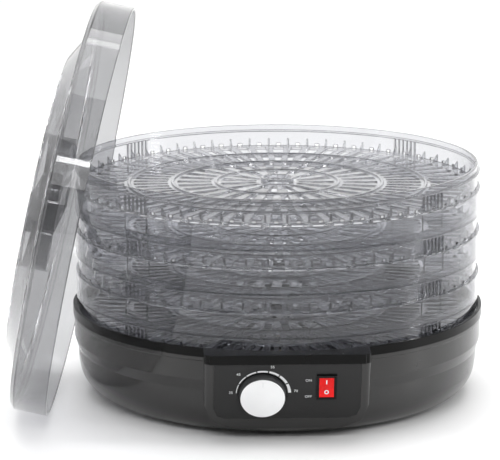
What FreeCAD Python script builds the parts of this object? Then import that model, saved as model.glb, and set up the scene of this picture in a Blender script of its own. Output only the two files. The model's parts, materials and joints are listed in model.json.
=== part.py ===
import FreeCAD, Part
import math
import operator
import os

import Sketcher

# Round countertop food dehydrator: a base with fan, heater and controls, four stacked
# see-through trays, and a lid that stands on its edge against the stack.
# Millimetres, +Z up. Origin: on the standing surface, under the centre of the base.
# The control panel faces -Y.

doc = FreeCAD.newDocument("food_dehydrator")
sheet = doc.addObject("Spreadsheet::Sheet", "Sizes")
V = FreeCAD.Vector

DIMENSIONS = [
    # alias, value, meaning
    ("tray_radius", 158.0, "outer radius of a tray's skirt and of the lid"),
    ("tray_wall", 1.7, "thickness of the tray and lid walls"),
    ("nest_gap", 0.3, "clearance between nested rims"),
    ("tray_pitch", 33.1, "height from one tray floor to the next"),
    ("tray_count", 4, "number of trays"),
    ("lowest_floor", 63.5, "height of the lowest tray's floor"),
    ("rim_rise", 20.1, "tray rim above its floor"),
    ("ledge_rise", 15.3, "tray stacking ledge above its floor"),
    ("skirt_drop", 17.5, "tray skirt below its floor"),
    ("floor_plate", 2.2, "thickness of a tray floor"),
    ("floor_bead", 1.1, "height of the stiffening rings on a tray floor"),
    ("lift_hole", 11.0, "radius of the hole in the middle of a tray"),
    ("slot_turns", 60, "slots round the outer part of a tray floor"),
    ("block_width", 22.0, "width of a tray's spacer block"),
    ("rib_width", 1.0, "width of the upright grip ribs on a tray wall"),
    ("rib_step", 4.2, "distance between the grip ribs"),
    ("tray_twist", 0.8, "how far the second tray is turned on the one below"),
    ("lid_skirt", 28.0, "height of the lid's upright skirt"),
    ("lid_height", 44.4, "overall height of the lid"),
    ("well_radius", 50.0, "radius of the round grip recess in the lid"),
    ("well_floor", 24.0, "height of the recess floor in the lid"),
    ("bar_width", 26.0, "width of the lid's grip bar"),
    ("lid_lean", 12.0, "lean of the standing lid from upright, degrees"),
    ("lid_bearing", 176.0, "compass direction the lid's top faces, degrees"),
    ("lid_offset", 144.0, "distance of the lid's rim centre from the axis, to the left"),
    ("lid_forward", 60.8, "distance of the lid's rim centre from the axis, to the front"),
    ("base_ring", 160.8, "outer radius of the base's top ring"),
    ("base_height", 70.5, "height of the base's top ring"),
    ("ring_band", 7.0, "height of the ring's upright band"),
    ("base_shoulder", 159.7, "outer radius of the base under the ring"),
    ("base_foot", 132.0, "outer radius of the flat part of the base's underside"),
    ("base_bend", 24.0, "radius of the bend between the base's side and underside"),
    ("base_lift", 2.0, "height of the underside above the standing surface"),
    ("seat_height", 45.7, "height of the seat for the lowest tray"),
    ("shell_wall", 2.5, "wall thickness of the base"),
    ("cover_radius", 129.7, "radius of the bottom cover"),
    ("deck_radius", 156.2, "radius of the air deck"),
    ("post_circle", 118.0, "radius of the circle of screw posts"),
    ("post_radius", 4.5, "radius of a screw post"),
    ("screw_radius", 1.3, "radius of a bottom screw's shank"),
    ("panel_width", 122.0, "width of the control panel bump"),
    ("panel_top", 63.5, "height of the top of the panel's sloping face"),
    ("panel_bottom", 9.5, "height of the bottom of the panel's sloping face"),
    ("panel_reach", 169.85, "distance of the top of the sloping face from the axis"),
    ("panel_lean", 18.5, "slope of the panel face from upright, degrees"),
    ("plate_width", 108.0, "width of the control panel plate"),
    ("plate_height", 47.0, "height of the control panel plate"),
    ("plate_up", 4.2, "middle of the plate above the middle of the panel's sloping face"),
    ("plate_thick", 2.0, "thickness of the control panel plate"),
    ("knob_radius", 17.2, "radius of the control knob"),
    ("knob_height", 6.2, "height of the control knob above the plate"),
    ("knob_side", 18.3, "distance of the knob from the panel's centre line"),
    ("knob_up", 2.5, "knob centre above the middle of the panel face"),
    ("dial_recess", 18.3, "radius of the recess round the knob"),
    ("switch_side", 28.7, "distance of the switch from the panel's centre line"),
    ("switch_up", 8.3, "switch centre above the middle of the panel face"),
    ("switch_width", 15.0, "width of the rocker switch's bezel"),
    ("switch_height", 21.0, "height of the rocker switch's bezel"),
    ("switch_depth", 6.4, "depth of the upper part of the switch behind the plate's face"),
    ("shaft_radius", 3.0, "radius of the thermostat shaft"),
    ("fan_radius", 50.0, "radius of the fan"),
    ("fan_shaft", 2.0, "radius of the motor shaft"),
    ("duct_radius", 66.0, "inner radius of the heat shield round the fan"),
    ("duct_top", 37.0, "height of the heat shield"),
    ("coil_height", 40.0, "height of the heating coil"),
    ("coil_wire", 0.6, "radius of the heating wire"),
    ("gland_radius", 5.5, "radius of the hole for the mains lead"),
    ("gland_height", 22.0, "height of the hole for the mains lead"),
    ("pivot_depth", -2.0, "height of the rocker's pin over the plate"),
    ("foot_radius", 108.0, "middle radius of the rubber foot ring"),
]


class Size:
    """A dimension that keeps its number together with its spreadsheet expression."""

    def __init__(self, number, text):
        self.number = number
        self.text = text

    def joined(self, sign, other, work):
        other = as_size(other)
        text = "({} {} {})".format(self.text, sign, other.text)
        return Size(work(self.number, other.number), text)

    def __add__(self, other):
        return self.joined("+", other, operator.add)

    def __radd__(self, other):
        return as_size(other) + self

    def __sub__(self, other):
        return self.joined("-", other, operator.sub)

    def __rsub__(self, other):
        return as_size(other) - self

    def __mul__(self, other):
        return self.joined("*", other, operator.mul)

    def __rmul__(self, other):
        return as_size(other) * self

    def __truediv__(self, other):
        return self.joined("/", other, operator.truediv)

    def __neg__(self):
        return as_size(0) - self


def as_size(value):
    if isinstance(value, Size):
        return value
    return Size(float(value), repr(float(value)))


S = {}
for row, (alias, value, meaning) in enumerate(DIMENSIONS, start=1):
    sheet.set("A%d" % row, meaning)
    sheet.set("B%d" % row, str(value))
    sheet.setAlias("B%d" % row, alias)
    S[alias] = Size(float(value), "Sizes." + alias)
doc.recompute()


# ---------------------------------------------------------------- modelling helpers

def bind(thing, **properties):
    """Tie properties of a document object to sizes."""
    for name, size in properties.items():
        size = as_size(size)
        thing.setExpression(name, size.text)


def new_body(label):
    body = doc.addObject("PartDesign::Body", label)
    body.Label = label
    return body


def datum(body, role):
    return next(item for item in body.Origin.OriginFeatures if item.Role == role)


def sketch_on(body, role, offset=None, turn=0.0):
    """An empty sketch on one of the body's origin planes, moved along its normal."""
    sketch = body.newObject("Sketcher::SketchObject", body.Name + "_sketch")
    sketch.AttachmentSupport = [(datum(body, role), "")]
    sketch.MapMode = "FlatFace"
    if turn:
        sketch.AttachmentOffset = FreeCAD.Placement(V(0, 0, 0), FreeCAD.Rotation(V(0, 1, 0), turn))
    if offset is not None:
        sketch.setExpression("AttachmentOffset.Base.z", as_size(offset).text)
    return sketch


def outline(sketch, points):
    """A closed run of edges through points, every corner tied to its sizes.

    A point may have a third value, the radius of the arc that leads to the next point:
    above zero it turns left, below zero right.
    """
    first = sketch.GeometryCount
    count = len(points)
    corners = [(as_size(point[0]), as_size(point[1])) for point in points]
    starts = []
    for index, point in enumerate(points):
        here = V(corners[index][0].number, corners[index][1].number, 0)
        after = corners[(index + 1) % count]
        there = V(after[0].number, after[1].number, 0)
        radius = as_size(point[2]) if len(point) > 2 else None
        if radius is None:
            sketch.addGeometry(Part.LineSegment(here, there), False)
            starts.append(1)
            continue
        half = (there - here) * 0.5
        side = V(-half.y, half.x, 0).normalize() * math.copysign(1.0, radius.number)
        centre = here + half + side * math.sqrt(radius.number ** 2 - half.Length ** 2)
        ends = (here, there) if radius.number > 0 else (there, here)
        angles = [math.atan2(end.y - centre.y, end.x - centre.x) for end in ends]
        hoop = Part.Circle(centre, V(0, 0, 1), abs(radius.number))
        number = sketch.addGeometry(Part.ArcOfCircle(hoop, angles[0], angles[1]), False)
        rule = sketch.addConstraint(Sketcher.Constraint("Radius", number, abs(radius.number)))
        sketch.setExpression("Constraints[%d]" % rule, "abs(%s)" % radius.text)
        starts.append(1 if radius.number > 0 else 2)
    for index in range(count):
        after = (index + 1) % count
        here_end = 3 - starts[index]
        rule = Sketcher.Constraint("Coincident", first + index, here_end, first + after, starts[after])
        sketch.addConstraint(rule)
    for index, corner in enumerate(corners):
        for kind, size in zip(("DistanceX", "DistanceY"), corner):
            rule = Sketcher.Constraint(kind, -1, 1, first + index, starts[index], size.number)
            number = sketch.addConstraint(rule)
            sketch.setExpression("Constraints[%d]" % number, size.text)


def rectangle(sketch, x_low, x_high, y_low, y_high):
    outline(sketch, [(x_low, y_low), (x_high, y_low), (x_high, y_high), (x_low, y_high)])


def circle(sketch, radius, x=0.0, y=0.0):
    x = as_size(x)
    y = as_size(y)
    radius = as_size(radius)
    round_edge = Part.Circle(V(x.number, y.number, 0), V(0, 0, 1), radius.number)
    index = sketch.addGeometry(round_edge, False)
    for kind, size in (("DistanceX", x), ("DistanceY", y)):
        number = sketch.addConstraint(Sketcher.Constraint(kind, -1, 1, index, 3, size.number))
        sketch.setExpression("Constraints[%d]" % number, size.text)
    number = sketch.addConstraint(Sketcher.Constraint("Radius", index, radius.number))
    sketch.setExpression("Constraints[%d]" % number, radius.text)


def feature(body, kind, sketch):
    made = body.newObject("PartDesign::" + kind, body.Name + "_" + kind.lower())
    made.Profile = sketch
    sketch.Visibility = False
    return made


def revolve(body, sketch, kind="Revolution"):
    made = feature(body, kind, sketch)
    made.ReferenceAxis = (sketch, ["V_Axis"])
    made.Angle = 360
    return made


def pad(body, sketch, length, both_ways=False, backwards=False):
    made = feature(body, "Pad", sketch)
    bind(made, Length=length)
    made.Midplane = both_ways
    made.Reversed = backwards
    return made


def pocket(body, sketch, length, both_ways=False, backwards=False):
    """A cut along the sketch's normal, so backwards is against it."""
    made = feature(body, "Pocket", sketch)
    bind(made, Length=length)
    made.Midplane = both_ways
    made.Reversed = not backwards
    return made


def around(body, source, count):
    """Repeat a feature evenly round the body's Z axis."""
    made = body.newObject("PartDesign::PolarPattern", body.Name + "_pattern")
    made.Originals = [source]
    made.Axis = (datum(body, "Z_Axis"), [""])
    made.Angle = 360
    bind(made, Occurrences=count)
    body.Tip = made
    return made


def soften(body, radius, wanted):
    """Round the edges of the body's present shape that the test accepts."""
    doc.recompute()
    base = body.Tip
    names = []
    for number, edge in enumerate(base.Shape.Edges, start=1):
        if wanted(edge):
            names.append("Edge%d" % number)
    made = body.newObject("PartDesign::Fillet", body.Name + "_fillet")
    made.Base = (base, names)
    bind(made, Radius=radius)
    body.Tip = made
    return made


def is_hoop(edge, radius, height):
    """True for a full circle of about this radius round Z at about this height."""
    near = 0.05
    if not isinstance(edge.Curve, Part.Circle):
        return False
    centre = edge.Curve.Center
    level = abs(centre.z - height.number) < near
    centred = math.hypot(centre.x, centre.y) < near
    return level and centred and abs(edge.Curve.Radius - radius.number) < near


def primitive(kind, name, **properties):
    made = doc.addObject("Part::" + kind, name)
    bind(made, **properties)
    return made


def cylinder(name, radius, height, x=0.0, y=0.0, z=0.0):
    made = primitive("Cylinder", name, Radius=radius, Height=height)
    place(made, x, y, z)
    return made


def box(name, length, width, height, x=0.0, y=0.0, z=0.0):
    """A box centred on x and y, standing on z."""
    made = primitive("Box", name, Length=length, Width=width, Height=height)
    place(made, x - as_size(length) / 2, y - as_size(width) / 2, z)
    return made


def place(thing, x, y, z):
    thing.setExpression("Placement.Base.x", as_size(x).text)
    thing.setExpression("Placement.Base.y", as_size(y).text)
    thing.setExpression("Placement.Base.z", as_size(z).text)


def joined(name, pieces):
    made = doc.addObject("Part::MultiFuse", name)
    made.Shapes = pieces
    return made


def grouped(name, pieces):
    """Separate solids that share one sub-part."""
    made = doc.addObject("Part::Compound", name)
    made.Links = pieces
    return made


def cut_from(name, base, tool):
    made = doc.addObject("Part::Cut", name)
    made.Base = base
    made.Tool = tool
    return made


def ring_points(count, radius, start):
    """Centres evenly spaced on a circle, start in degrees."""
    points = []
    for index in range(count):
        angle = math.radians(start + 360.0 * index / count)
        points.append((radius * math.cos(angle), radius * math.sin(angle)))
    return points


def radial_slots(body, inner, outer, half_angle, count, floor, depth):
    """A ring of slots through a level plate, each widening outwards."""
    slope = math.tan(math.radians(half_angle))
    inner = as_size(inner)
    outer = as_size(outer)
    sketch = sketch_on(body, "XY_Plane", floor)
    outline(sketch, [(inner, -inner * slope), (outer, -outer * slope),
                     (outer, outer * slope), (inner, inner * slope)])
    slot = pocket(body, sketch, depth)
    return around(body, slot, count)


# ---------------------------------------------------------------- the trays

def make_tray(label):
    """One tray, with its floor's underside at height zero."""
    body = new_body(label)
    skirt_in = S["tray_radius"] - S["tray_wall"]
    wall_out = skirt_in - S["nest_gap"]
    wall_in = wall_out - S["tray_wall"]
    floor = S["floor_plate"]
    bead = floor + S["floor_bead"]
    flange_top = 1.6
    ledge_under = S["ledge_rise"] - 1.3
    ledge_out = S["tray_radius"] - S["nest_gap"]
    collar = S["lift_hole"] + 2.0
    profile = [
        (S["lift_hole"], 0),
        (skirt_in, 0),
        (skirt_in, -S["skirt_drop"]),
        (S["tray_radius"], -S["skirt_drop"]),
        (S["tray_radius"], flange_top),
        (wall_out, flange_top),
        (wall_out, ledge_under),
        (ledge_out, ledge_under),
        (ledge_out, S["ledge_rise"]),
        (wall_out, S["ledge_rise"]),
        (wall_out, S["rim_rise"]),
        (wall_in, S["rim_rise"]),
        (wall_in, floor),
    ]
    for radius in (116.0, 82.0, 48.0):
        profile += [(radius + 1, floor), (radius + 1, bead), (radius - 1, bead), (radius - 1, floor)]
    profile += [(collar, floor), (collar, 6.0), (S["lift_hole"], 6.0)]
    sketch = sketch_on(body, "XZ_Plane")
    outline(sketch, profile)
    revolve(body, sketch)

    # Spacer blocks inside the skirt, one in each quarter.
    sketch = sketch_on(body, "YZ_Plane", wall_in + 0.3)
    half = S["block_width"] / 2
    rectangle(sketch, -half, half, S["rim_rise"] - S["tray_pitch"] + 0.4, 0.5)
    around(body, pad(body, sketch, 1.9), 4)

    # Upright grip ribs on the wall, six in each quarter, below the ledge.
    sketch = sketch_on(body, "YZ_Plane", wall_out - 1)
    for index in range(6):
        middle = S["rib_step"] * (index - 2.5)
        edge = S["rib_width"] / 2
        rectangle(sketch, middle - edge, middle + edge, floor, ledge_under)
    around(body, pad(body, sketch, 2.2), 4)

    # Pointed gussets that stiffen the corner between floor and wall, one between each pair of slots.
    sketch = sketch_on(body, "XZ_Plane", turn=3.0)
    outline(sketch, [(wall_in - 5, floor - 0.5), (wall_in + 0.5, floor - 0.5),
                     (wall_in + 0.5, floor + 6), (wall_in - 0.4, floor + 6)])
    around(body, pad(body, sketch, 1.0, both_ways=True), S["slot_turns"])

    # Small side vents through the wall just above the floor.
    sketch = sketch_on(body, "YZ_Plane", wall_in - 2)
    rectangle(sketch, -1.6, 1.6, floor + 0.2, floor + 2.0)
    around(body, pocket(body, sketch, 6.0), S["slot_turns"])

    # Four rings of slots in the floor, finer towards the wall.
    deep = floor + 1
    radial_slots(body, 120.0, 147.0, 1.75, S["slot_turns"], -0.5, deep)
    radial_slots(body, 86.0, 112.0, 1.5, S["slot_turns"], -0.5, deep)
    radial_slots(body, 52.0, 78.0, 2.9, S["slot_turns"] / 2, -0.5, deep)
    radial_slots(body, 17.0, 44.0, 5.6, S["slot_turns"] / 4, -0.5, deep)
    return body


def place_tray(tray, level):
    """Level 0 is the tray on the base. Grip blocks sit at the quarters between front and sides."""
    quarter = 45.0
    twist = quarter + (S["tray_twist"].number if level == 2 else 0.0)
    height = S["lowest_floor"].number + level * S["tray_pitch"].number
    tray.Placement = FreeCAD.Placement(V(0, 0, height), FreeCAD.Rotation(V(0, 0, 1), twist))


def make_trays():
    """The top tray is modelled, and the other three are the same moulding."""
    count = int(S["tray_count"].number)
    first = make_tray("tray_1")
    doc.recompute()
    moulding = first.Shape.copy()
    trays = [first]
    for number in range(2, count + 1):
        tray = doc.addObject("Part::Feature", "tray_%d" % number)
        tray.Shape = moulding
        trays.append(tray)
    for number, tray in enumerate(trays, start=1):
        place_tray(tray, count - number)
    return trays


# ---------------------------------------------------------------- the lid

def make_lid():
    """The lid, modelled with its open rim at height zero, then stood on its edge."""
    body = new_body("lid")
    wall = S["tray_wall"]
    rim = S["tray_radius"]
    top = S["lid_height"]
    skirt = S["lid_skirt"]
    well = S["well_radius"]
    floor = S["well_floor"]
    crown = top - 0.4
    rise = top - 4.0
    shoulder = skirt + 1.2
    sketch = sketch_on(body, "XZ_Plane")
    outline(sketch, [
        (rim, 0), (rim, skirt - 3), (rim - 3, skirt),
        (133.0, shoulder), (113.0, rise), (60.0, crown), (well, top), (well, floor), (0, floor),
        (0, floor - wall), (well + wall, floor - wall), (well + wall, top - wall),
        (60.0, crown - wall), (113.0 + 0.7, rise - wall), (133.0 + 0.7, shoulder - wall),
        (rim - 3.8, skirt - wall), (rim - wall, skirt - 3.8), (rim - wall, 0),
    ])
    revolve(body, sketch)

    # Hollow bar across the round recess, gripped from both sides.
    half = S["bar_width"] / 2
    reach = well + 0.3
    sketch = sketch_on(body, "XY_Plane", floor - wall)
    rectangle(sketch, -half, half, -reach, reach)
    pad(body, sketch, top - floor + wall - 0.5)
    sketch = sketch_on(body, "XY_Plane", floor - wall - 1)
    rectangle(sketch, wall - half, half - wall, -well + 1.5, well - 1.5)
    pocket(body, sketch, top - floor - 0.5)

    # Ring of air outlets in the crown.
    sketch = sketch_on(body, "XY_Plane", floor + 2)
    rectangle(sketch, 70.0, 92.0, -1.7, 1.7)
    around(body, pocket(body, sketch, top - floor), 24)

    rounded = ((rim - 3, skirt), (as_size(133.0), shoulder), (as_size(113.0), rise))
    soften(body, 1.6, lambda edge: any(is_hoop(edge, r, z) for r, z in rounded))

    lean = math.radians(S["lid_lean"].number)
    bearing = math.radians(S["lid_bearing"].number)
    outwards = V(math.cos(lean) * math.cos(bearing), math.cos(lean) * math.sin(bearing), math.sin(lean))
    level = V(-math.sin(bearing), math.cos(bearing), 0)
    stood = FreeCAD.Rotation(level.cross(outwards), level, outwards, "ZYX")
    lift = 0.1
    centre = V(-S["lid_offset"].number, -S["lid_forward"].number, rim.number * math.cos(lean) + lift)
    body.Placement = FreeCAD.Placement(centre, stood)
    return body


# ---------------------------------------------------------------- the base

def panel_slope():
    """Rise of the sloping face, and how far it falls back over that rise."""
    slope = math.tan(math.radians(S["panel_lean"].number))
    rise = S["panel_top"] - S["panel_bottom"]
    return rise, rise * slope


def panel_placement(x=0.0, up=0.0):
    """Frame on the panel face: X to the right, Y up the face, Z out of it."""
    rise, fall = panel_slope()
    lean = S["panel_lean"].number
    upwards = V(0, -math.sin(math.radians(lean)), math.cos(math.radians(lean)))
    middle = V(0, -(S["panel_reach"].number - fall.number / 2), S["panel_bottom"].number + rise.number / 2)
    origin = middle + upwards * up + V(x, 0, 0)
    return FreeCAD.Placement(origin, FreeCAD.Rotation(V(1, 0, 0), 90.0 + lean))


def bend_end(foot, low, radius):
    """Where the bend between the base's underside and its side ends, 78 degrees round."""
    turn = math.radians(78.0)
    return foot + radius * math.sin(turn), low + radius * (1 - math.cos(turn))


def make_housing_round():
    """The round body of the base, still solid."""
    body = new_body("housing_round")
    ring = S["base_ring"]
    height = S["base_height"]
    band = height - S["ring_band"]
    shoulder = S["base_shoulder"]
    foot = S["base_foot"]
    lift = S["base_lift"]
    waist = shoulder - 2.6
    bend = S["base_bend"]
    bead = shoulder + 0.7
    sketch = sketch_on(body, "XZ_Plane")
    outline(sketch, [(0, lift), (foot, lift, bend), bend_end(foot, lift, bend) + (82.0,), (waist, 37.0),
                     (shoulder, 45.5), (shoulder, band - 3.4), (bead, band - 2.6), (bead, band),
                     (ring, band), (ring, height), (0, height)])
    revolve(body, sketch)
    return body


def make_housing_bump():
    """The control panel's bump, a wedge with a straight lip over its sloping face."""
    body = new_body("housing_bump")
    rise, fall = panel_slope()
    reach = S["panel_reach"]
    low = S["panel_bottom"]
    root = -130.0
    sketch = sketch_on(body, "YZ_Plane")
    outline(sketch, [(root, S["base_height"]), (-reach, S["base_height"]), (-reach, S["panel_top"]),
                     (-reach + fall, low), (root, low)])
    pad(body, sketch, S["panel_width"], both_ways=True)
    half = S["panel_width"] / 2

    def is_front_corner(edge):
        bounds = edge.BoundBox
        at_side = bounds.XLength < 0.1 and abs(abs(bounds.XMin) - half.number) < 0.1
        return at_side and bounds.ZLength > 5 and bounds.YMin < -140
    soften(body, 4.0, is_front_corner)
    sketch = sketch_on(body, "XY_Plane", S["panel_top"])
    front = -reach - 1.2
    outline(sketch, [(4 - half, root), (1 - half, 4 - reach), (4 - half, front), (half - 4, front),
                     (half - 1, 4 - reach), (half - 4, root)])
    pad(body, sketch, S["ring_band"])
    clip = 20.0
    bend = 0.3 * clip
    sketch = sketch_on(body, "XZ_Plane")
    for side in (-1, 1):
        beyond = side * (half + 1)
        inside = side * (half - clip)
        outline(sketch, [(beyond, low - 1), (beyond, low + clip), (side * half, low + clip),
                         (side * (half - bend), low + bend), (inside, low), (inside, low - 1)])
    pocket(body, sketch, 400.0, both_ways=True)
    return body


def make_housing_hollow():
    """The space inside the base, with steps that seat the lowest tray and the air deck."""
    body = new_body("housing_hollow")
    lift = S["base_lift"]
    wall = S["shell_wall"]
    seat = S["seat_height"]
    top = S["base_height"] + 1
    mouth = S["tray_radius"] + 0.4
    step = S["deck_radius"] + 0.4
    under = seat - wall - 0.3
    opening = S["cover_radius"] + 0.3
    sketch = sketch_on(body, "XZ_Plane")
    foot = S["base_foot"]
    bend = S["base_bend"] - wall
    outline(sketch, [(0, lift - 1), (opening, lift - 1), (opening, lift + wall), (foot, lift + wall, bend),
                     bend_end(foot, lift + wall, bend), (step - 2.3, under), (step, under), (step, seat),
                     (mouth, seat), (mouth, top), (0, top)])
    revolve(body, sketch)
    return body


def make_housing():
    """Outer shell of the base: the round body and the bump, hollowed and opened."""
    rise, fall = panel_slope()
    tall = rise.number / math.cos(math.radians(S["panel_lean"].number))
    facet = primitive("Box", "panel_facet", Length=100.0, Width=tall, Height=30.0)
    facet_corner = FreeCAD.Placement(V(-50, -tall / 2, 0.04), FreeCAD.Rotation())
    facet.Placement = panel_placement().multiply(facet_corner)
    seat = new_body("panel_seat")
    plate_outline(sketch_on(seat, "XY_Plane", -S["plate_thick"]), 0.15)
    pad(seat, seat.Group[-1], 6.0)
    seat.Placement = panel_placement(0.0, S["plate_up"].number)
    across = S["plate_width"] / 2 - 10
    sill = S["panel_bottom"] + 12
    window = new_body("panel_window")
    sketch = sketch_on(window, "XY_Plane", sill)
    rectangle(sketch, -across, across, -S["panel_reach"], -120.0)
    pad(window, sketch, S["seat_height"] - S["shell_wall"] - 0.3 - sill)
    across = S["switch_width"] / 2 - 0.9
    upright = S["switch_height"] / 2 - 0.9
    pit = new_body("switch_pit")
    sketch = sketch_on(pit, "XY_Plane", -S["switch_depth"] - 0.2)
    rectangle(sketch, -across, across, -upright, upright)
    pad(pit, sketch, S["switch_depth"])
    pit.Placement = panel_placement(S["switch_side"].number, S["switch_up"].number)
    nook = new_body("thermostat_nook")
    sketch = sketch_on(nook, "XY_Plane", -5.0)
    rectangle(sketch, -13.3, 13.3, -17.3, 6.3)
    pad(nook, sketch, 4.5)
    nook.Placement = panel_placement(-S["knob_side"].number, S["knob_up"].number)
    lead_hole = primitive("Cylinder", "lead_hole", Radius=S["gland_radius"] + 0.05, Height=40.0)
    behind = V(0, 170, S["gland_height"].number)
    lead_hole.Placement = FreeCAD.Placement(behind, FreeCAD.Rotation(V(1, 0, 0), 90))
    solid = joined("housing_solid", [make_housing_round(), make_housing_bump()])
    tools = joined("housing_tools", [make_housing_hollow(), window, pit, nook, seat, facet, lead_hole])
    return cut_from("base_housing", solid, tools)


def plate_outline(sketch, spare):
    """The panel plate's outline, its lower corners cut off, with some room round it."""
    half = S["plate_width"] / 2 + spare
    tall = S["plate_height"] / 2 + spare
    clip = 9.0
    outline(sketch, [(-half, tall), (-half, -tall + clip), (-half + 0.3 * clip, -tall + 0.3 * clip),
                     (-half + clip, -tall), (half - clip, -tall), (half - 0.3 * clip, -tall + 0.3 * clip),
                     (half, -tall + clip), (half, tall)])


def make_deck():
    """Top of the base: a grille over the heater, a seat rim for the tray, four screw posts."""
    body = new_body("air_deck")
    top = S["seat_height"]
    under = top - S["shell_wall"]
    rim_out = S["tray_radius"] - S["tray_wall"] - S["nest_gap"]
    rim_in = rim_out - S["tray_wall"]
    rim_top = top + 4.6
    sketch = sketch_on(body, "XZ_Plane")
    outline(sketch, [(0, under), (S["deck_radius"], under), (S["deck_radius"], top), (rim_out, top),
                     (rim_out, rim_top), (rim_in, rim_top), (rim_in, top), (94.0, top), (90.0, top + 3),
                     (0, top + 3)])
    revolve(body, sketch)
    sketch = sketch_on(body, "XY_Plane", under)
    circle(sketch, 88.0)
    pocket(body, sketch, 3.0)
    deep = 8.0
    radial_slots(body, 12.0, 34.0, 4.0, 20, under - 1, deep)
    radial_slots(body, 38.0, 60.0, 2.2, 40, under - 1, deep)
    radial_slots(body, 64.0, 84.0, 1.5, 60, under - 1, deep)
    cover_top = S["base_lift"] + S["shell_wall"]
    sketch = sketch_on(body, "XY_Plane", cover_top)
    corner = S["post_circle"] / math.sqrt(2)
    circle(sketch, S["post_radius"], corner, corner)
    post = pad(body, sketch, under - cover_top + 0.5)
    around(body, post, 4)
    sketch = sketch_on(body, "XY_Plane", cover_top - 1)
    circle(sketch, S["screw_radius"], corner, corner)
    around(body, pocket(body, sketch, 14.0), 4)
    return body


def make_bottom_cover():
    """Floor of the base, with intake slots under the fan and holes for four screws."""
    body = new_body("bottom_cover")
    low = S["base_lift"]
    thick = S["shell_wall"]
    sketch = sketch_on(body, "XY_Plane", low)
    circle(sketch, S["cover_radius"])
    pad(body, sketch, thick)
    radial_slots(body, 30.0, 44.0, 3.0, 24, low - 1, 5.0)
    radial_slots(body, 48.0, 62.0, 2.0, 36, low - 1, 5.0)
    sketch = sketch_on(body, "XY_Plane", low - 1)
    corner = S["post_circle"] / math.sqrt(2)
    circle(sketch, S["screw_radius"] + 0.2, corner, corner)
    around(body, pocket(body, sketch, 5.0), 4)
    sketch = sketch_on(body, "XY_Plane", low - 1)
    circle(sketch, 1.2, 25.0, 0.0)
    around(body, pocket(body, sketch, 5.0), 3)
    return body


def make_foot_ring():
    """Rubber ring under the bottom cover, on which the appliance stands."""
    body = new_body("rubber_foot_ring")
    middle = S["foot_radius"]
    sketch = sketch_on(body, "XZ_Plane")
    top = S["base_lift"]
    outline(sketch, [(middle - 3, 0), (middle + 3, 0), (middle + 4, top), (middle - 4, top)])
    revolve(body, sketch)
    return body


def make_screws(label, points, radius, head, seat, length):
    """Round-headed screws standing head down under a seat."""
    pieces = []
    for index, (x, y) in enumerate(points):
        shank = cylinder("%s_shank_%d" % (label, index), radius, length, x, y, seat)
        cap = primitive("Cone", "%s_head_%d" % (label, index), Radius1=head * 0.7, Radius2=head, Height=1.4)
        place(cap, x, y, seat - as_size(1.4))
        pieces.append(joined("%s_%d" % (label, index), [shank, cap]))
    return grouped(label, pieces)


def make_motor():
    low = S["base_lift"] + S["shell_wall"]
    plate = primitive("Cylinder", "bracket_plate", Radius=28.0, Height=2.0)
    place(plate, 0, 0, low)
    bore = cylinder("bracket_bore", S["fan_shaft"] + 0.5, 4.0, 0, 0, low - 1)
    holes = [cylinder("bracket_hole_%d" % i, 1.2, 4.0, x, y, low - 1)
             for i, (x, y) in enumerate(ring_points(3, 25.0, 0.0))]
    bracket = cut_from("motor_bracket", plate, joined("bracket_holes", [bore] + holes))
    can = cylinder("motor_can", 21.0, 17.0, 0, 0, low + 2)
    nose = cylinder("motor_nose", 7.0, 20.0, 0, 0, low + 2)
    shaft_bore = cylinder("motor_bore", S["fan_shaft"] + 0.05, 24.0, 0, 0, low + 1)
    motor = cut_from("fan_motor", joined("motor_shell", [can, nose]), shaft_bore)
    shaft = cylinder("motor_shaft", S["fan_shaft"], 29.5, 0, 0, low + 1)
    return bracket, motor, shaft


def make_fan():
    body = new_body("fan_impeller")
    sketch = sketch_on(body, "XY_Plane", 27.5)
    circle(sketch, 9.0)
    circle(sketch, S["fan_shaft"])
    pad(body, sketch, 8.0)
    sketch = sketch_on(body, "YZ_Plane", 7.5)
    outline(sketch, [(-8.0, 28.0), (8.0, 33.5), (8.0, 35.0), (-8.0, 29.5)])
    around(body, pad(body, sketch, S["fan_radius"] - 7.5), 7)
    return body


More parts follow.
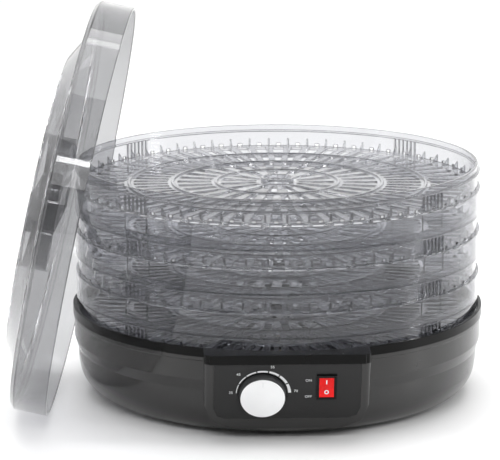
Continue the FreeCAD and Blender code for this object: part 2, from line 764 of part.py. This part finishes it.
def make_heater():
    low = S["base_lift"] + S["shell_wall"]
    top = S["duct_top"]
    shield = new_body("heat_shield")
    sketch = sketch_on(shield, "XZ_Plane")
    inner = S["duct_radius"]
    outline(sketch, [(inner, low), (inner + 9, low), (inner + 9, low + 0.8), (inner + 0.8, low + 0.8),
                     (inner + 0.8, top), (inner, top)])
    revolve(shield, sketch)
    hoops = (30.0, 42.0, 54.0)
    rings = [primitive("Torus", "coil_ring_%d" % i, Radius1=radius, Radius2=S["coil_wire"])
             for i, radius in enumerate(hoops)]
    for ring in rings:
        place(ring, 0, 0, S["coil_height"])
    link = primitive("Cylinder", "coil_link", Radius=S["coil_wire"], Height=hoops[2] - hoops[0])
    angle = math.radians(20.0)
    along = V(math.cos(angle), math.sin(angle), 0)
    link.Placement = FreeCAD.Placement(along * hoops[0] + V(0, 0, S["coil_height"].number),
                                       FreeCAD.Rotation(V(0, 0, 1), along))
    coil = joined("heater_coil", rings + [link])
    span = 2 * (inner + 0.8)
    tall = S["seat_height"] - S["shell_wall"] - top - 0.2
    plates = [box("mica_x", span, 1.2, tall, 0, 0, top), box("mica_y", 1.2, span, tall, 0, 0, top)]
    hole = S["coil_wire"] + 0.3
    holes = [primitive("Torus", "mica_hole_%d" % i, Radius1=radius, Radius2=hole)
             for i, radius in enumerate(hoops)]
    for ring in holes:
        place(ring, 0, 0, S["coil_height"])
    frame = cut_from("heater_frame", joined("mica_cross", plates), joined("mica_holes", holes))
    fuse = primitive("Cylinder", "thermal_fuse", Radius=2.0, Height=11.0)
    beside = V(inner.number + 0.8 + 2.0, -5.5, 28)
    fuse.Placement = FreeCAD.Placement(beside, FreeCAD.Rotation(V(1, 0, 0), -90))
    return shield, coil, frame, fuse


# ---------------------------------------------------------------- the controls

def make_panel_plate():
    body = new_body("control_panel")
    sketch = sketch_on(body, "XY_Plane", -S["plate_thick"])
    plate_outline(sketch, 0)
    pad(body, sketch, S["plate_thick"])
    sketch = sketch_on(body, "XY_Plane", -1.0)
    knob_up = S["knob_up"] - S["plate_up"]
    circle(sketch, S["dial_recess"], -S["knob_side"], knob_up)
    pocket(body, sketch, 3.0)
    sketch = sketch_on(body, "XY_Plane", -S["plate_thick"] - 1)
    circle(sketch, 5.2, -S["knob_side"], knob_up)
    pocket(body, sketch, 4.0)
    sketch = sketch_on(body, "XY_Plane", -S["plate_thick"] - 1)
    across = S["switch_width"] / 2 - 0.9
    upright = S["switch_height"] / 2 - 0.9
    switch_up = S["switch_up"] - S["plate_up"]
    rectangle(sketch, S["switch_side"] - across, S["switch_side"] + across,
              switch_up - upright, switch_up + upright)
    pocket(body, sketch, 4.0)
    body.Placement = panel_placement(0.0, S["plate_up"].number)
    return body


def make_knob():
    """Knob, its face, its pointer and the shaft it turns, all on the knob's own axis."""
    seat = panel_placement(-S["knob_side"].number, S["knob_up"].number)
    radius = S["knob_radius"]
    high = S["knob_height"]
    knob = new_body("control_knob")
    sketch = sketch_on(knob, "XZ_Plane")
    face_in = radius - 0.9
    under = high - 2.2
    bore = S["shaft_radius"]
    skirt_in = radius - 2.2
    outline(sketch, [(bore, 0.6), (6.0, 0.6), (6.0, under), (skirt_in, under), (skirt_in, -0.5),
                     (radius, -0.5), (radius - 0.3, high - 1), (radius - 0.6, high), (face_in, high),
                     (face_in, high - 1), (bore, high - 1)])
    revolve(knob, sketch)
    face = new_body("knob_face")
    sketch = sketch_on(face, "XY_Plane", high - 1)
    circle(sketch, face_in)
    pad(face, sketch, 1.5)
    soften(face, 0.4, lambda edge: is_hoop(edge, face_in, high + 0.5))
    pointer = primitive("Box", "knob_pointer", Length=1.2, Width=4.0, Height=0.25)
    pointer.Placement = seat.multiply(FreeCAD.Placement(V(-0.6, 10.4, high.number + 0.5), FreeCAD.Rotation()))
    shaft = new_body("thermostat_shaft")
    sketch = sketch_on(shaft, "XY_Plane", -4.0)
    circle(sketch, S["shaft_radius"])
    pad(shaft, sketch, high - 1 + 4.0)
    for piece in (knob, face, shaft):
        piece.Placement = seat
    return knob, face, pointer, shaft


def make_thermostat():
    seat = panel_placement(-S["knob_side"].number, S["knob_up"].number)
    body = new_body("thermostat")
    back = -S["plate_thick"]
    sketch = sketch_on(body, "XY_Plane", back - 2.7)
    rectangle(sketch, -13.0, 13.0, -17.0, 6.0)
    pad(body, sketch, 2.7)
    sketch = sketch_on(body, "XY_Plane", back - 12)
    rectangle(sketch, -13.0, 13.0, -17.0, -0.6)
    pad(body, sketch, 11.0)
    sketch = sketch_on(body, "XY_Plane", back - 0.5)
    circle(sketch, 5.0)
    pad(body, sketch, S["plate_thick"] + 0.7)
    sketch = sketch_on(body, "XY_Plane", -4.3)
    circle(sketch, S["shaft_radius"] + 0.05)
    pocket(body, sketch, 12.0)
    nut = new_body("thermostat_nut")
    sketch = sketch_on(nut, "XY_Plane", -1.0)
    corners = ring_points(6, 7.0, 30.0)
    outline(sketch, corners)
    circle(sketch, 5.0)
    pad(nut, sketch, 1.2)
    for piece in (body, nut):
        piece.Placement = seat
    return body, nut


def make_switch():
    """Rocker switch: bezel and housing in one, the rocker on its pin, three blades behind."""
    seat = panel_placement(S["switch_side"].number, S["switch_up"].number)
    across = S["switch_width"] / 2
    upright = S["switch_height"] / 2
    bezel = new_body("switch_bezel")
    depth = S["switch_depth"]
    sketch = sketch_on(bezel, "XY_Plane", -depth)
    rectangle(sketch, -across + 1, across - 1, -upright + 1, upright - 1)
    pad(bezel, sketch, depth)
    sketch = sketch_on(bezel, "XY_Plane", -14.0)
    rectangle(sketch, -across + 1, across - 1, -upright + 1, -6.4)
    pad(bezel, sketch, 10.0)
    sketch = sketch_on(bezel, "XY_Plane", 0.0)
    rectangle(sketch, -across, across, -upright, upright)
    pad(bezel, sketch, 1.6)
    sketch = sketch_on(bezel, "XY_Plane", 0.7 - depth)
    rectangle(sketch, -across + 1.9, across - 1.9, -upright + 1.8, upright - 1.8)
    pocket(bezel, sketch, 12.0)
    sketch = sketch_on(bezel, "YZ_Plane")
    circle(sketch, 1.0, 0.0, S["pivot_depth"])
    pocket(bezel, sketch, 12.8, both_ways=True)
    rocker = new_body("switch_rocker")
    sketch = sketch_on(rocker, "YZ_Plane")
    outline(sketch, [(8.0, -1.6), (8.0, 0.7), (0.0, 0.7), (-7.5, 2.6), (-8.0, -0.8), (-5.0, -4.0),
                     (5.0, -4.2)])
    circle(sketch, 1.05, 0.0, S["pivot_depth"])
    pad(rocker, sketch, 2 * across - 4.2, both_ways=True)
    pin = new_body("rocker_pin")
    sketch = sketch_on(pin, "YZ_Plane")
    circle(sketch, 1.0, 0.0, S["pivot_depth"])
    pad(pin, sketch, 12.6, both_ways=True)
    for piece in (bezel, rocker, pin):
        piece.Placement = seat
    tabs = []
    for index in range(3):
        tab = primitive("Box", "blade_%d" % index, Length=2.8, Width=0.8, Height=5.0)
        spot = FreeCAD.Placement(V(4.0 * (index - 1) - 1.4, -9.2, -19.0), FreeCAD.Rotation())
        tab.Placement = seat.multiply(spot)
        tabs.append(tab)
    return bezel, rocker, pin, grouped("switch_terminals", tabs)


def make_gland():
    """Bush that lines the mains lead's hole, at the back near the bottom."""
    body = new_body("cord_gland")
    sketch = sketch_on(body, "XZ_Plane", -147.0)
    circle(sketch, S["gland_radius"], 0, S["gland_height"])
    circle(sketch, S["gland_radius"] - 1.9, 0, S["gland_height"])
    pad(body, sketch, 12.2, backwards=True)
    sketch = sketch_on(body, "XZ_Plane", -157.2)
    circle(sketch, S["gland_radius"] + 3, 0, S["gland_height"])
    circle(sketch, S["gland_radius"] - 1.9, 0, S["gland_height"])
    pad(body, sketch, 2.0, backwards=True)
    return body


# ---------------------------------------------------------------- assembly

PIECES = [make_lid(), make_housing(), make_deck(), make_bottom_cover(), make_foot_ring()]
PIECES += make_motor()
PIECES += [make_fan()]
PIECES += make_heater()
PIECES += [make_panel_plate()]
PIECES += make_knob()
PIECES += make_thermostat()
PIECES += make_switch()
PIECES += [make_gland()]
PIECES += [make_screws("bottom_screws", ring_points(4, S["post_circle"].number, 45.0),
                       S["screw_radius"], 3.0, S["base_lift"], 12.0)]
PIECES += [make_screws("motor_screws", ring_points(3, 25.0, 0.0), 1.2, 2.4, S["base_lift"], 4.2)]
PIECES += make_trays()

doc.recompute()
for item in doc.Objects:
    if "Invalid" in item.State or "Error" in item.State:
        raise RuntimeError("failed: " + item.Label + " " + str(item.State))
for piece in PIECES:
    if piece.Shape.isNull() or not piece.Shape.isValid():
        raise RuntimeError("bad shape: " + piece.Label)

os.makedirs("parts", exist_ok=True)
for piece in PIECES:
    piece.Shape.exportStep("parts/%s.step" % piece.Label)
    print(piece.Label, len(piece.Shape.Solids), round(piece.Shape.Volume))
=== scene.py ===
import math

import bmesh
import bpy
from mathutils import Matrix, Vector
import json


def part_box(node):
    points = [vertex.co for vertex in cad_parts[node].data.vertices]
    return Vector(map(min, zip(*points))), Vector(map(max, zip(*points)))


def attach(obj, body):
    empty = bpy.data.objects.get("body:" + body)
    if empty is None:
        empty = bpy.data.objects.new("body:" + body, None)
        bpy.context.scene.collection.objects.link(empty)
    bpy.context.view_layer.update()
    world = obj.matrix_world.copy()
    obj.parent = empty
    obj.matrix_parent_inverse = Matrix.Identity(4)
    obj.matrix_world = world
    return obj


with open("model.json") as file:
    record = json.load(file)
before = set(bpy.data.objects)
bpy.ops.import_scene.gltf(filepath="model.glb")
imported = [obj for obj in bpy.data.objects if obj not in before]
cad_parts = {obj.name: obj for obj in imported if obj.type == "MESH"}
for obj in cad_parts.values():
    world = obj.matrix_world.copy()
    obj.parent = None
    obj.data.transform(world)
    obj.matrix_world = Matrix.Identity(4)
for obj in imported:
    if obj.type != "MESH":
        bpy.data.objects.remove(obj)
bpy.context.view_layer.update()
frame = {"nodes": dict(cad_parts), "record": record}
nodes = frame["nodes"]
MM = 0.001

# ---------------------------------------------------------------- the control panel's own frame

LEAN = math.radians(18.5)            # slope of the control panel from upright
PLATE_HEIGHT = 47 * MM               # height of the panel's plate along its slope
out_of_panel = Vector((0, -math.cos(LEAN), -math.sin(LEAN)))
up_panel = Vector((0, -math.sin(LEAN), math.cos(LEAN)))
along_panel = Vector((1, 0, 0))
plate_low, plate_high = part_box("control_panel")
panel_middle = Vector(((plate_low.x + plate_high.x) / 2,
                       plate_low.y + PLATE_HEIGHT / 2 * math.sin(LEAN),
                       plate_low.z + PLATE_HEIGHT / 2 * math.cos(LEAN)))


def centre(node):
    low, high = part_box(node)
    return (low + high) / 2


def panel_frame(point):
    """Matrix with X along the panel, Y up it and Z out of it, where point meets the panel's face."""
    height = (point - panel_middle).dot(out_of_panel)
    origin = point - out_of_panel * height
    turn = Matrix((along_panel, up_panel, out_of_panel)).transposed().to_4x4()
    return Matrix.Translation(origin) @ turn


knob_at = panel_frame(centre("knob_face"))
switch_at = panel_frame(centre("rocker_pin"))

# ---------------------------------------------------------------- materials

FLAT_COSINE = 0.97                   # rounded and true normal agree this well on a flat face
EDGE_COSINE = 0.75                   # and only this well at an edge
CLOUD_SCALE = 14.0                   # broad patches of slightly different colour
CLOUD_SHADE = 0.82                   # darkest patch against the full colour
SCUFF_SCALE = 55.0
BAND_DEPTH = 7.0 * MM                # darker band round the top of the base
BAND_COLOUR = 0.0025
BAND_SPECULAR = 0.12


def grey(level):
    return (level, level, level)


class Shader:
    """A small helper round a material's node tree."""

    def __init__(self, name):
        self.material = bpy.data.materials.new(name)
        self.material.use_nodes = True
        self.tree = self.material.node_tree
        self.tree.nodes.clear()
        self.output = self.add("ShaderNodeOutputMaterial")
        self.place = self.add("ShaderNodeTexCoord").outputs["Object"]

    def add(self, kind, **settings):
        node = self.tree.nodes.new(kind)
        for key, value in settings.items():
            setattr(node, key, value)
        return node

    def link(self, source, target):
        self.tree.links.new(source, target)

    def noise(self, scale, detail=3.0, rough=0.5, stretch=None):
        node = self.add("ShaderNodeTexNoise")
        node.inputs["Scale"].default_value = scale
        node.inputs["Detail"].default_value = detail
        node.inputs["Roughness"].default_value = rough
        source = self.place
        if stretch:
            mapping = self.add("ShaderNodeMapping")
            mapping.inputs["Scale"].default_value = stretch
            self.link(source, mapping.inputs["Vector"])
            source = mapping.outputs[0]
        self.link(source, node.inputs["Vector"])
        return node.outputs["Fac"]

    def span(self, value, low, high, to_low, to_high):
        node = self.add("ShaderNodeMapRange")
        node.inputs["From Min"].default_value = low
        node.inputs["From Max"].default_value = high
        node.inputs["To Min"].default_value = to_low
        node.inputs["To Max"].default_value = to_high
        self.link(value, node.inputs["Value"])
        return node.outputs[0]

    def blend(self, factor, first, second):
        node = self.add("ShaderNodeMix", data_type="RGBA")
        self.link(factor, node.inputs["Factor"])
        for socket, value in ((node.inputs["A"], first), (node.inputs["B"], second)):
            if hasattr(value, "is_output"):
                self.link(value, socket)
            else:
                socket.default_value = (*value, 1.0)
        return node.outputs["Result"]

    def maths(self, operation, *values):
        node = self.add("ShaderNodeMath", operation=operation)
        for index, value in enumerate(values):
            if hasattr(value, "is_output"):
                self.link(value, node.inputs[index])
            else:
                node.inputs[index].default_value = value
        return node.outputs[0]

    def bump(self, height, strength, distance, normal=None):
        node = self.add("ShaderNodeBump")
        node.inputs["Strength"].default_value = strength
        node.inputs["Distance"].default_value = distance
        self.link(height, node.inputs["Height"])
        if normal is not None:
            self.link(normal, node.inputs["Normal"])
        return node.outputs[0]

    def edge(self, radius):
        """Rounded normal at edges, and how much it differs from the true one there."""
        rounded = self.add("ShaderNodeBevel", samples=4)
        rounded.inputs["Radius"].default_value = radius
        true = self.add("ShaderNodeNewGeometry").outputs["Normal"]
        alike = self.add("ShaderNodeVectorMath", operation="DOT_PRODUCT")
        self.link(rounded.outputs[0], alike.inputs[0])
        self.link(true, alike.inputs[1])
        return rounded.outputs[0], self.span(alike.outputs["Value"], FLAT_COSINE, EDGE_COSINE, 0.0, 1.0)

    def principled(self, **values):
        node = self.add("ShaderNodeBsdfPrincipled")
        for key, value in values.items():
            node.inputs[key.replace("_", " ")].default_value = value
        return node

    def finish(self, shader):
        self.link(shader, self.output.inputs["Surface"])
        return self.material


def moulded(name, colour, worn, rough, spread, grain, coat=0.0, edge=0.0006, metallic=0.0, depth=0.00004,
            stretch=None, band_above=None, **more):
    """Moulded, painted or bare material: cloudy colour, uneven roughness, fine grain and rubbed edges.

    Above the height band_above, where one is given, it is nearly black and less glossy.
    """
    s = Shader(name)
    normal, rubbed = s.edge(edge)
    cloud = s.noise(CLOUD_SCALE, 4.0)
    fine = s.noise(grain, 3.0, 0.6, stretch)
    dark = tuple(channel * CLOUD_SHADE for channel in colour)
    tone = s.blend(s.span(cloud, 0.3, 0.7, 0.0, 1.0), dark, colour)
    tone = s.blend(s.maths("MULTIPLY", rubbed, s.span(cloud, 0.35, 0.65, 0.15, 0.7)), tone, worn)
    if band_above is not None:
        height = s.add("ShaderNodeSeparateXYZ")
        s.link(s.place, height.inputs[0])
        in_band = s.maths("GREATER_THAN", height.outputs["Z"], band_above)
        tone = s.blend(in_band, tone, grey(BAND_COLOUR))
    shader = s.principled(Metallic=metallic, Coat_Weight=coat, Coat_Roughness=0.06, **more)
    if band_above is not None:
        specular = s.span(in_band, 0.0, 1.0, more["Specular_IOR_Level"], BAND_SPECULAR)
        s.link(s.span(in_band, 0.0, 1.0, coat, 0.0), shader.inputs["Coat Weight"])
        s.link(specular, shader.inputs["Specular IOR Level"])
    s.link(tone, shader.inputs["Base Color"])
    scuffs = s.span(s.noise(SCUFF_SCALE, 6.0, 0.65), 0.45, 0.7, 0.0, spread)
    grainy = s.span(fine, 0.2, 0.8, rough * 0.85, rough * 1.15)
    s.link(s.maths("ADD", scuffs, grainy), shader.inputs["Roughness"])
    s.link(s.bump(fine, 0.6, depth, normal), shader.inputs["Normal"])
    return s.finish(shader.outputs[0])


def clear(name, thin, thick, edge_shade, shade, rough, edge):
    """Clear smoke plastic that bends light, with shade painted darker along its edges, cloudy tint, flow
    marks and scuffs.

    The index of refraction is lower than a real plastic's, so that walls behind each other stay clear.
    """
    s = Shader(name)
    rounded, at_edge = s.edge(edge)
    flow_marks = s.noise(7.0, 2.0, 0.5, (1.0, 1.0, 0.35))
    normal = s.bump(flow_marks, 0.06, 0.0003, rounded)
    glass = s.principled(IOR=1.22, Transmission_Weight=1.0, Coat_Weight=0.35, Coat_Roughness=0.02)
    tone = s.blend(s.span(s.noise(12.0), 0.35, 0.65, 0.0, 1.0), thick, thin)
    # Painted shade: the base colour turns near-black along edges, standing in for the dark lines that
    # refraction gives the edges of clear plastic.
    painted_edge_shade = s.maths("MINIMUM", s.maths("MULTIPLY", at_edge, 2.0), 1.0)
    s.link(s.blend(painted_edge_shade, tone, edge_shade), glass.inputs["Base Color"])
    scuffs = s.span(s.noise(90.0, 6.0, 0.65, (1.0, 1.0, 3.0)), 0.58, 0.8, 0.0, 0.03)
    uneven = s.span(s.noise(60.0, 4.0), 0.3, 0.7, rough * 0.6, rough * 1.4)
    s.link(s.maths("ADD", scuffs, uneven), glass.inputs["Roughness"])
    s.link(normal, glass.inputs["Normal"])
    lamps = s.add("ShaderNodeBsdfTransparent")
    lamps.inputs["Color"].default_value = (*shade, 1.0)
    path = s.add("ShaderNodeLightPath")
    both = s.add("ShaderNodeMixShader")
    s.link(path.outputs["Is Shadow Ray"], both.inputs[0])
    s.link(glass.outputs[0], both.inputs[1])
    s.link(lamps.outputs[0], both.inputs[2])
    return s.finish(both.outputs[0])


def lit_lens(name, dim, bright):
    """Coloured rocker with a faint glow, as from the lamp behind it, in two cloudy tones."""
    s = Shader(name)
    fine = s.noise(300.0, 3.0)
    shader = s.principled(Coat_Weight=0.08, Coat_Roughness=0.05, Specular_IOR_Level=0.2,
                          Emission_Strength=0.16)
    tone = s.blend(s.span(s.noise(120.0, 4.0), 0.3, 0.7, 0.0, 1.0), dim, bright)
    s.link(tone, shader.inputs["Base Color"])
    s.link(tone, shader.inputs["Emission Color"])
    s.link(s.span(fine, 0.2, 0.8, 0.16, 0.26), shader.inputs["Roughness"])
    s.link(s.bump(fine, 0.3, 0.00003), shader.inputs["Normal"])
    return s.finish(shader.outputs[0])


band_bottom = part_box("base_housing")[1].z - BAND_DEPTH
finishes = {
    # The near-black edge colour of the trays is painted shade along their edges.
    "smoke_clear": clear("smoke_clear", thin=(0.69, 0.695, 0.715), thick=(0.66, 0.665, 0.685),
                         edge_shade=(0.010, 0.011, 0.014), shade=(0.84, 0.843, 0.855), rough=0.006, edge=0.0011),
    "black_gloss": moulded("black_gloss", (0.014, 0.0135, 0.013), grey(0.06), rough=0.20, spread=0.08,
                           grain=420.0, coat=0.25, depth=0.00001, band_above=band_bottom,
                           Specular_IOR_Level=0.4),
    "black_satin": moulded("black_satin", (0.020, 0.020, 0.021), grey(0.07), rough=0.42, spread=0.12,
                           grain=900.0),
    "panel_black": moulded("panel_black", (0.009, 0.009, 0.0092), grey(0.05), rough=0.30, spread=0.06,
                           grain=1500.0, edge=0.0003, Specular_IOR_Level=0.35),
    "rubber": moulded("rubber", grey(0.014), grey(0.05), rough=0.75, spread=0.10, grain=700.0),
    "zinc_steel": moulded("zinc_steel", (0.50, 0.50, 0.49), (0.72, 0.72, 0.71), rough=0.32, spread=0.12,
                          grain=260.0, metallic=1.0, edge=0.0002),
    "motor_paint": moulded("motor_paint", (0.060, 0.064, 0.068), grey(0.30), rough=0.42, spread=0.12,
                           grain=600.0),
    "aluminium": moulded("aluminium", (0.66, 0.67, 0.68), grey(0.85), rough=0.30, spread=0.12, grain=300.0,
                         metallic=1.0, stretch=(1.0, 1.0, 14.0)),
    "heating_wire": moulded("heating_wire", (0.20, 0.17, 0.15), (0.36, 0.30, 0.26), rough=0.40, spread=0.15,
                            grain=500.0, metallic=1.0, edge=0.0001),
    "mica": moulded("mica", (0.42, 0.35, 0.22), (0.60, 0.54, 0.40), rough=0.48, spread=0.15, grain=350.0,
                    edge=0.0002),
    "knob_dark": moulded("knob_dark", (0.040, 0.040, 0.042), grey(0.12), rough=0.36, spread=0.08,
                         grain=1200.0, edge=0.0003),
    "knob_silver": moulded("knob_silver", (0.93, 0.935, 0.94), grey(0.95), rough=0.30, spread=0.06,
                           grain=1600.0, coat=0.3, edge=0.0004, metallic=0.12, depth=0.00001),
    "print_white": moulded("print_white", (0.85, 0.86, 0.87), grey(0.70), rough=0.55, spread=0.10,
                           grain=2000.0, edge=0.0001),
    "dark_resin": moulded("dark_resin", (0.050, 0.026, 0.015), (0.11, 0.07, 0.05), rough=0.45, spread=0.12,
                          grain=500.0),
    "red_lens": lit_lens("red_lens", dim=(0.55, 0.002, 0.003), bright=(0.75, 0.004, 0.004)),
    "brass": moulded("brass", (0.66, 0.45, 0.17), (0.86, 0.68, 0.36), rough=0.30, spread=0.12, grain=400.0,
                     metallic=1.0, edge=0.0002),
}

# The lid is moulded in a darker smoke than the trays, and the switch is blacker than the panel.
own_finishes = {
    # The near-black edge colour of the lid is painted shade along its edges.
    "lid": clear("smoke_lid", thin=(0.57, 0.572, 0.58), thick=(0.53, 0.532, 0.54),
                 edge_shade=(0.004, 0.004, 0.005), shade=(0.80, 0.80, 0.81), rough=0.006, edge=0.0017),
    "switch_bezel": moulded("bezel_black", grey(0.002), grey(0.03), rough=0.35, spread=0.08, grain=1500.0,
                            edge=0.0003, Specular_IOR_Level=0.2),
}

for part in frame["record"]["subparts"]:
    node = nodes[part["node"]]
    node.data.materials.clear()
    node.data.materials.append(own_finishes.get(part["node"], finishes[part["material_slot"]]))

# ---------------------------------------------------------------- printed marks on the panel

PRINT = 0.06 * MM                    # thickness of the ink
PRINT_SLOT = "print_white"
ROCKER_SLOPE = math.atan2(1.9, 7.5)  # the rocker's lower half against the panel, as switched on
ROCKER_STANDS = 0.7 * MM             # the rocker's middle over the panel
DIAL_NUMBERS = (                     # text, and mm to the right of the knob's axis and above it
    ("35", -23.2, 1.2),
    ("45", -17.6, 17.2),
    ("55", 7.2, 23.4),
    ("70", 24.6, 2.2),
)


def printed(name, mesh, body):
    """Make a mesh into a printed piece that rides on a body."""
    mesh.materials.clear()
    mesh.materials.append(finishes[PRINT_SLOT])
    piece = bpy.data.objects.new(name, mesh)
    bpy.context.scene.collection.objects.link(piece)
    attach(piece, body)


def arc_band(shape, inner, outer_start, outer_end, start, end, steps=14):
    """A flat curved bar between two compass angles, whose outer edge may move out on the way."""
    thick = Vector((0, 0, PRINT))
    rows = []
    for index in range(steps + 1):
        share = index / steps
        angle = math.radians(start + (end - start) * share)
        outer = outer_start + (outer_end - outer_start) * share
        way = Vector((math.sin(angle), math.cos(angle), 0))
        corners = (way * inner, way * outer, way * outer + thick, way * inner + thick)
        rows.append([shape.verts.new(corner) for corner in corners])
    for one, two in zip(rows, rows[1:]):
        for side in range(4):
            shape.faces.new((one[side], one[(side + 1) % 4], two[(side + 1) % 4], two[side]))
    shape.faces.new(rows[0])
    shape.faces.new(rows[-1])


def dial_scale(name):
    """Seven bars round the top of the knob, each thicker than the one before."""
    bars = 7
    sweep = 178.0
    gap = 3.0
    step = sweep / bars
    inner = 18.9 * MM
    thinnest = 0.55
    thicker_by = 0.25
    flare = 0.16 * MM
    shape = bmesh.new()
    for index in range(bars):
        start = -sweep / 2 + index * step + gap / 2
        outer = inner + (thinnest + thicker_by * index) * MM
        arc_band(shape, inner, outer, outer + flare, start, start + step - gap)
    bmesh.ops.recalc_face_normals(shape, faces=shape.faces)
    mesh = bpy.data.meshes.new(name)
    shape.to_mesh(mesh)
    shape.free()
    mesh.transform(knob_at)
    printed(name, mesh, "base")


def lettering(name, text, size, spot, where, body, bold=0.0):
    """Short printed mark, centred on a spot in a local frame."""
    curve = bpy.data.curves.new(name + "_curve", "FONT")
    curve.body = text
    curve.size = size
    curve.extrude = PRINT / 2
    curve.offset = bold
    curve.align_x = "CENTER"
    curve.align_y = "CENTER"
    curve.resolution_u = 3
    drawn = bpy.data.objects.new(name + "_drawn", curve)
    bpy.context.scene.collection.objects.link(drawn)
    bpy.context.view_layer.update()
    mesh = bpy.data.meshes.new_from_object(drawn.evaluated_get(bpy.context.evaluated_depsgraph_get()))
    bpy.data.objects.remove(drawn)
    bpy.data.curves.remove(curve)
    mesh.transform(where @ Matrix.Translation((*spot, PRINT / 2)))
    mesh.name = name
    printed(name, mesh, body)


dial_scale("dial_scale_print")
for number, (text, right, above) in enumerate(DIAL_NUMBERS):
    lettering("dial_number_%d" % number, text, 3.1 * MM, (right * MM, above * MM), knob_at, "base")
rocker_upper = switch_at @ Matrix.Translation((0, 0, ROCKER_STANDS))
rocker_lower = rocker_upper @ Matrix.Rotation(-ROCKER_SLOPE, 4, "X")
lettering("rocker_mark_on", "I", 4.6 * MM, (0, 4.2 * MM), rocker_upper, "rocker", bold=0.2 * MM)
lettering("rocker_mark_off", "O", 4.2 * MM, (0, -4.0 * MM), rocker_lower, "rocker", bold=0.16 * MM)
lettering("switch_mark_on", "ON", 3.0 * MM, (-13.2 * MM, 5.6 * MM), switch_at, "base")
lettering("switch_mark_off", "OFF", 3.0 * MM, (-13.2 * MM, -8.6 * MM), switch_at, "base")

# ---------------------------------------------------------------- floor, light and camera


def studio_floor():
    """Wide, level, pale floor."""
    shape = bmesh.new()
    reach = 12.0
    corners = ((-reach, -reach, 0), (reach, -reach, 0), (reach, reach, 0), (-reach, reach, 0))
    shape.faces.new([shape.verts.new(corner) for corner in corners])
    mesh = bpy.data.meshes.new("studio_floor")
    shape.to_mesh(mesh)
    shape.free()
    floor = bpy.data.objects.new("studio_floor", mesh)
    bpy.context.scene.collection.objects.link(floor)
    s = Shader("pale_floor")
    shader = s.principled(Specular_IOR_Level=0.3)
    s.link(s.blend(s.noise(3.0), grey(0.90), grey(0.93)), shader.inputs["Base Color"])
    s.link(s.span(s.noise(20.0), 0.2, 0.8, 0.45, 0.6), shader.inputs["Roughness"])
    mesh.materials.append(s.finish(shader.outputs[0]))


def softbox(name, location, width, height, power, target=(0, 0, 0.12)):
    """Rectangular lamp that faces a target, by default the middle of the object."""
    lamp = bpy.data.lights.new(name, "AREA")
    lamp.shape = "RECTANGLE"
    lamp.size = width
    lamp.size_y = height
    lamp.energy = power
    holder = bpy.data.objects.new(name, lamp)
    holder.location = location
    way = Vector(target) - Vector(location)
    holder.rotation_euler = way.to_track_quat("-Z", "Y").to_euler()
    bpy.context.scene.collection.objects.link(holder)


def studio_world():
    """Room light: brightest behind the object, and fading to dim behind the camera."""
    world = bpy.data.worlds.new("studio")
    world.use_nodes = True
    tree = world.node_tree
    place = tree.nodes.new("ShaderNodeTexCoord")
    split = tree.nodes.new("ShaderNodeSeparateXYZ")
    tree.links.new(place.outputs["Generated"], split.inputs[0])
    ramp = tree.nodes.new("ShaderNodeMapRange")
    ramp.interpolation_type = "SMOOTHSTEP"
    for socket, value in (("From Min", -0.5), ("From Max", 0.9), ("To Min", 0.20), ("To Max", 1.1)):
        ramp.inputs[socket].default_value = value
    tree.links.new(split.outputs["Y"], ramp.inputs["Value"])
    tree.links.new(ramp.outputs[0], tree.nodes["Background"].inputs["Strength"])
    tree.nodes["Background"].inputs["Color"].default_value = (1.0, 1.0, 1.0, 1.0)
    bpy.context.scene.world = world


def studio_camera(azimuth, elevation, distance, lens, look_at):
    """Camera that looks at a point from a compass angle and a height angle, in degrees."""
    level = math.cos(math.radians(elevation))
    back = Vector((math.sin(math.radians(azimuth)) * level,
                   -math.cos(math.radians(azimuth)) * level,
                   math.sin(math.radians(elevation))))
    camera_data = bpy.data.cameras.new("camera")
    camera_data.lens = lens
    camera_data.sensor_width = 36.0
    camera = bpy.data.objects.new("camera", camera_data)
    camera.location = Vector(look_at) + back * distance
    camera.rotation_euler = (-back).to_track_quat("-Z", "Y").to_euler()
    bpy.context.scene.collection.objects.link(camera)
    bpy.context.scene.camera = camera


studio_floor()
softbox("soft_top", (0.0, 0.3, 2.4), width=2.2, height=2.2, power=42.0, target=(0, 0, 0.1))
softbox("soft_left", (-2.1, -0.7, 1.0), width=0.5, height=1.5, power=13.0)
softbox("soft_right", (2.0, -0.4, 0.8), width=0.30, height=1.3, power=20.0)
softbox("soft_front", (0.3, -2.6, 1.7), width=1.5, height=0.8, power=13.0)
softbox("strip_front", (-0.1, -1.7, 1.35), width=1.5, height=0.10, power=9.0)
softbox("soft_back", (0.0, 1.0, 2.6), width=3.0, height=1.2, power=40.0, target=(0, 3.2, 1.0))
studio_world()
studio_camera(azimuth=-2.1, elevation=12.4, distance=2.09, lens=191.5, look_at=(-0.0214, 0.001, 0.1262))
bpy.context.scene.view_settings.view_transform = "Standard"

# Light crosses many clear walls on its way through the stack, so its paths may be long.
bpy.context.scene.cycles.max_bounces = 64
bpy.context.scene.cycles.transparent_max_bounces = 64
bpy.context.scene.cycles.glossy_bounces = 16
bpy.context.scene.cycles.transmission_bounces = 64
